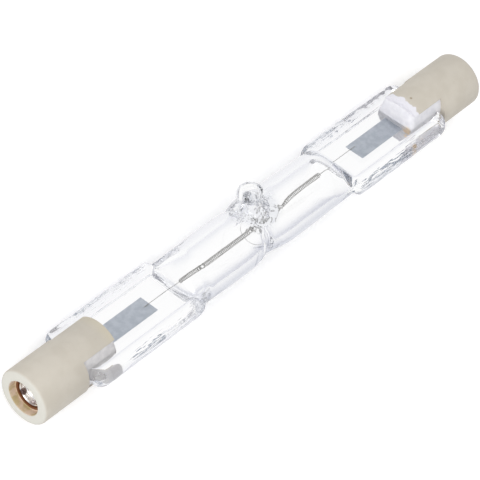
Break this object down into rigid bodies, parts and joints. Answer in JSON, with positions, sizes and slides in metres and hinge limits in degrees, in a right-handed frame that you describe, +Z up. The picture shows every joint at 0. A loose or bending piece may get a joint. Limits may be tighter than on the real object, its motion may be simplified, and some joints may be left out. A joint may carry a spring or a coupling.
{
  "type": "linear halogen bulb",
  "caption": "Double-ended linear halogen bulb: clear quartz tube with flat press seals, an axial filament and a recessed contact in a round ceramic cap at each end.",
  "frame": {"origin": "on the ground under the middle of the lamp's box, as it lies", "axes": "+X along the lamp's axis, +Z up; the lamp lies on its bulb, rolled until the rails of one side are just off the ground"},
  "size_m": [0.0782, 0.0098, 0.0089],
  "materials": {
    "quartz": "clear fused quartz",
    "tungsten": "dark drawn tungsten wire",
    "foil": "smooth blue-grey foil",
    "lead_wire": "drawn wire with a brown tint",
    "contact": "bright metal with a copper-brown edge",
    "ceramic": "matt ivory ceramic",
    "cement": "matt white cement"
  },
  "bodies": {
    "root": {"quartz_bulb": "quartz", "filament": "tungsten", "filament_support": "tungsten", "left_foil": "foil", "right_foil": "foil", "left_lead_wire": "lead_wire", "right_lead_wire": "lead_wire", "left_contact": "contact", "right_contact": "contact", "left_ceramic_cap": "ceramic", "right_ceramic_cap": "ceramic", "left_cement": "cement", "right_cement": "cement"}
  },
  "joints": []
}
